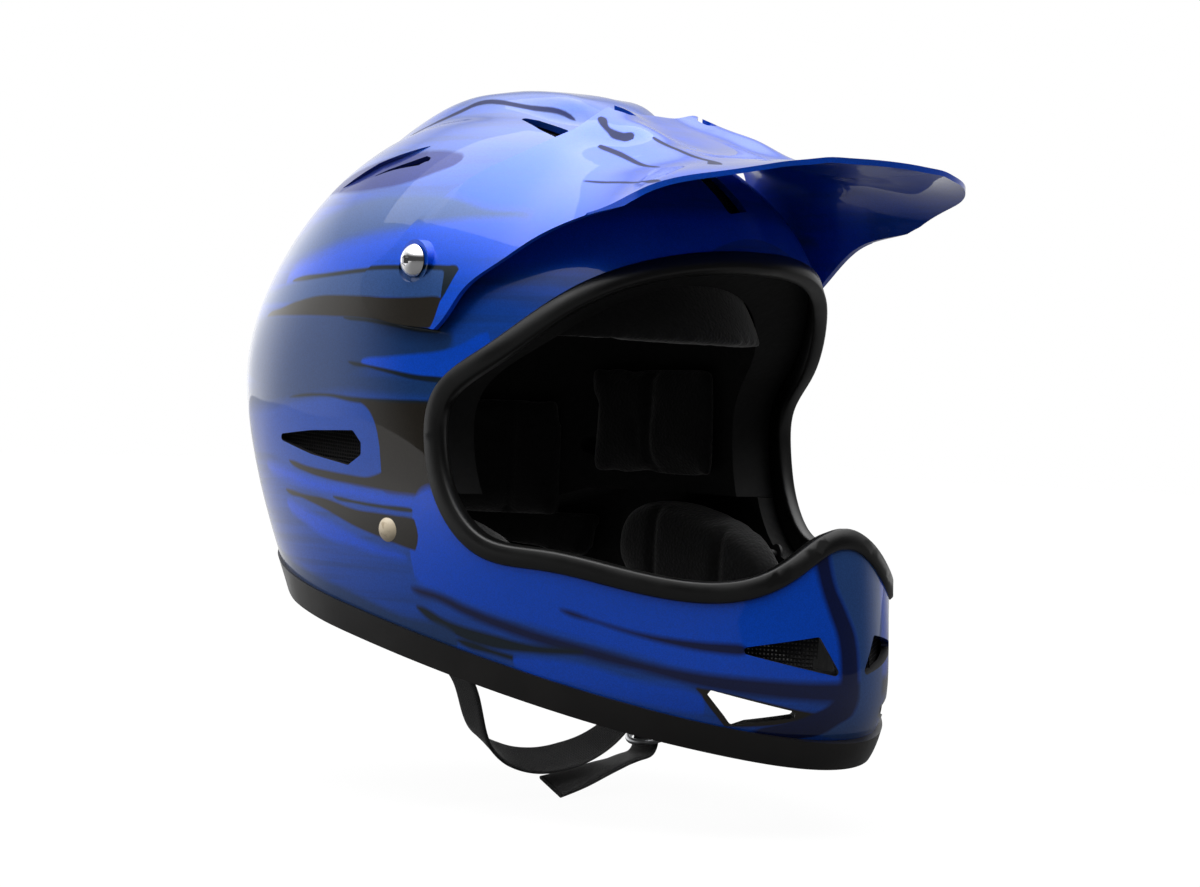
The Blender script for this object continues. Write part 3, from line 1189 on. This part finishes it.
def place_camera(stage, back):
    """Camera at the photograph's viewing angle."""
    right = Vector((math.cos(stage.azimuth), math.sin(stage.azimuth), 0))
    up = back.cross(right)
    c, s = math.cos(stage.roll), math.sin(stage.roll)
    right, up = right * c + up * s, up * c - right * s
    camera = bpy.data.cameras.new("camera")
    camera.lens = stage.lens
    camera.sensor_width = SENSOR_WIDTH
    camera.shift_x = (IMAGE_SIZE[0] / 2 - PRINCIPAL[0]) / IMAGE_SIZE[0]
    camera.shift_y = (PRINCIPAL[1] - IMAGE_SIZE[1] / 2) / IMAGE_SIZE[0]
    seat = linked("camera", camera)
    turn = Matrix((right, up, back)).transposed().to_4x4()
    seat.matrix_world = Matrix.Translation(AIM + back * stage.distance) @ turn
    bpy.context.scene.camera = seat


def hang_surroundings(back):
    """White surroundings for the eye; a softbox sky above and dusk towards the camera elsewhere."""
    world = bpy.data.worlds.new("studio")
    bpy.context.scene.world = world
    world.use_nodes = True
    tree = world.node_tree
    tree.nodes.clear()
    eye = add(tree, "LightPath", out="Is Camera Ray")
    direction = add(tree, "TexCoord", out="Generated")
    upwards = add(tree, "SeparateXYZ", [direction], out="Z")
    facing = add(tree, "VectorMath", [direction, tuple(back)], out="Value", operation="DOT_PRODUCT")
    rear = add(tree, "VectorMath", [direction, REAR_GLOW], out="Value", operation="DOT_PRODUCT")
    sky, behind, beside = (add(tree, "MapRange", [value, *levels], interpolation_type="SMOOTHSTEP")
                           for value, levels in ((upwards, SKY), (facing, BEHIND), (rear, BESIDE)))
    level = add(tree, "Math", [sky, behind], operation="MAXIMUM")
    for more in (beside, FILL):
        level = add(tree, "Math", [level, more], operation="ADD")
    unseen = add(tree, "Math", [1.0, eye], operation="SUBTRACT")
    seen = add(tree, "Math", [level, unseen, eye], operation="MULTIPLY_ADD")
    shown = add(tree, "Background", {"Color": (1, 1, 1, 1), "Strength": seen})
    add(tree, "OutputWorld", {"Surface": shown})


def hang_softbox(name, power, size, place, mirrored):
    """Square lamp at a place, turned to the aim point, that gloss mirrors or doesn't."""
    lamp = bpy.data.lights.new(name, "AREA")
    lamp.energy = power
    lamp.size = size
    box = linked(name, lamp)
    box.location = place
    box.visible_glossy = mirrored
    box.rotation_mode = "QUATERNION"
    box.rotation_quaternion = (Vector(place) - AIM).to_track_quat("Z", "Y")


class HELMET_OT_stage(bpy.types.Operator):
    """Floor, lamps, surroundings and camera"""
    bl_idname = "helmet.stage"
    bl_label = "Stage"

    def execute(self, context):
        stage = context.scene.helmet_stage
        context.scene.view_settings.view_transform = "Standard"
        back = line_of_sight(stage)
        lay_floor(stage.floor)
        place_camera(stage, back)
        hang_surroundings(back)
        # Softboxes over the crown and beside the rider's right
        hang_softbox("overhead", stage.overhead, OVERHEAD_SIZE, OVERHEAD_PLACE, True)
        hang_softbox("side", stage.side, SIDE_SIZE, SIDE_PLACE, False)
        return {"FINISHED"}


OPERATORS = (HELMET_OT_shell, HELMET_OT_visor, HELMET_OT_trims, HELMET_OT_liner, HELMET_OT_pads,
             HELMET_OT_screens, HELMET_OT_straps, HELMET_OT_hardware, HELMET_OT_stage)


class HELMET_PT_looks(bpy.types.Panel):
    """Lists the helmet's pieces"""
    bl_label = "Helmet"
    bl_idname = "HELMET_PT_looks"
    bl_space_type = "VIEW_3D"
    bl_region_type = "UI"
    bl_category = "Helmet"

    def draw(self, context):
        layout = self.layout
        for group in (context.scene.helmet_paint, context.scene.helmet_soft, context.scene.helmet_stage):
            box = layout.box()
            for key in group.__annotations__:
                box.prop(group, key)
        for operator in OPERATORS:
            layout.operator(operator.bl_idname)


GROUPS = {"helmet_paint": PaintSettings, "helmet_soft": SoftSettings, "helmet_stage": StageSettings}


def register():
    """Makes the settings, pieces and panel known."""
    for made in (*GROUPS.values(), *OPERATORS, HELMET_PT_looks):
        bpy.utils.register_class(made)
    for name, group in GROUPS.items():
        setattr(bpy.types.Scene, name, PointerProperty(type=group))


def unregister():
    """Takes them away again."""
    for name in GROUPS:
        delattr(bpy.types.Scene, name)
    for made in (HELMET_PT_looks, *OPERATORS, *GROUPS.values()):
        bpy.utils.unregister_class(made)


def main():
    """Builds every piece."""
    register()
    for operator in OPERATORS:
        group, name = operator.bl_idname.split(".")
        getattr(getattr(bpy.ops, group), name)()


if __name__ == "__main__":
    main()
